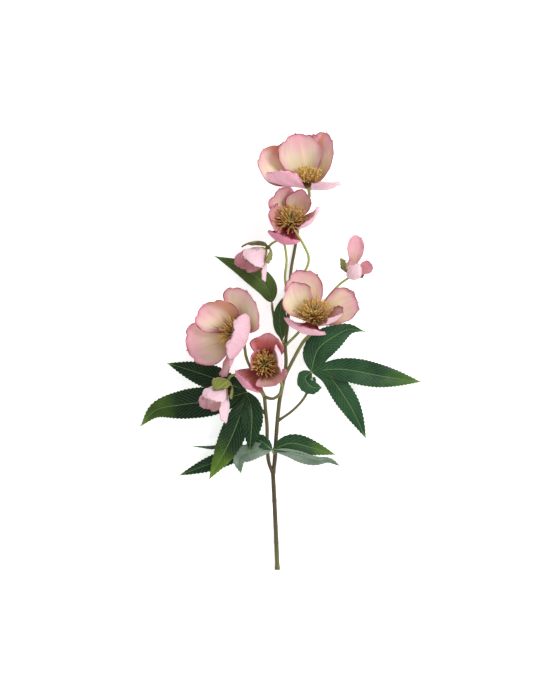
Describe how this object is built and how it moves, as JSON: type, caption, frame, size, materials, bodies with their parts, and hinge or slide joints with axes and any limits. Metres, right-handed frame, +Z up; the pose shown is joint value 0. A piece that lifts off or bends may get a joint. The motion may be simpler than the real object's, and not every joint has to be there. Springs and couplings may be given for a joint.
{
  "type": "hellebore flower",
  "caption": "Cut flowering stem of Lenten rose lying on its back: a forked stem with open nodding blooms, buds, and toothed hand-shaped leaves.",
  "frame": {"origin": "on the surface the stem lies on, under the middle of its bounding box", "axes": "+Y from the cut end towards the topmost bloom, +X to the right as seen from above, +Z up from the surface"},
  "size_m": [0.2406, 0.375, 0.0608],
  "materials": {
    "stem": "satin",
    "leaf": "satin",
    "bract": "satin",
    "sepal": "matte",
    "bud": "matte",
    "stamen": "matte",
    "nectary": "satin",
    "carpel": "matte"
  },
  "bodies": {
    "root": {"stem": "stem", "leaf_right": "leaf", "leaf_left": "leaf", "leaf_fork_front": "leaf", "leaf_fork_back": "leaf", "leaf_bract_left": "leaf", "leaf_bract_middle": "leaf", "leaf_bract_upper": "leaf", "sepals_top": "sepal", "nectaries_top": "nectary", "stamens_top": "stamen", "carpels_top": "carpel", "sepals_upper": "sepal", "nectaries_upper": "nectary", "stamens_upper": "stamen", "carpels_upper": "carpel", "sepals_left": "sepal", "nectaries_left": "nectary", "stamens_left": "stamen", "carpels_left": "carpel", "sepals_middle": "sepal", "nectaries_middle": "nectary", "stamens_middle": "stamen", "carpels_middle": "carpel", "sepals_right": "sepal", "nectaries_right": "nectary", "stamens_right": "stamen", "carpels_right": "carpel", "bud_upper": "bud", "bracts_upper": "bract", "bud_right": "bud", "bracts_right": "bract", "bud_left": "bud", "bracts_left": "bract"}
  },
  "joints": []
}
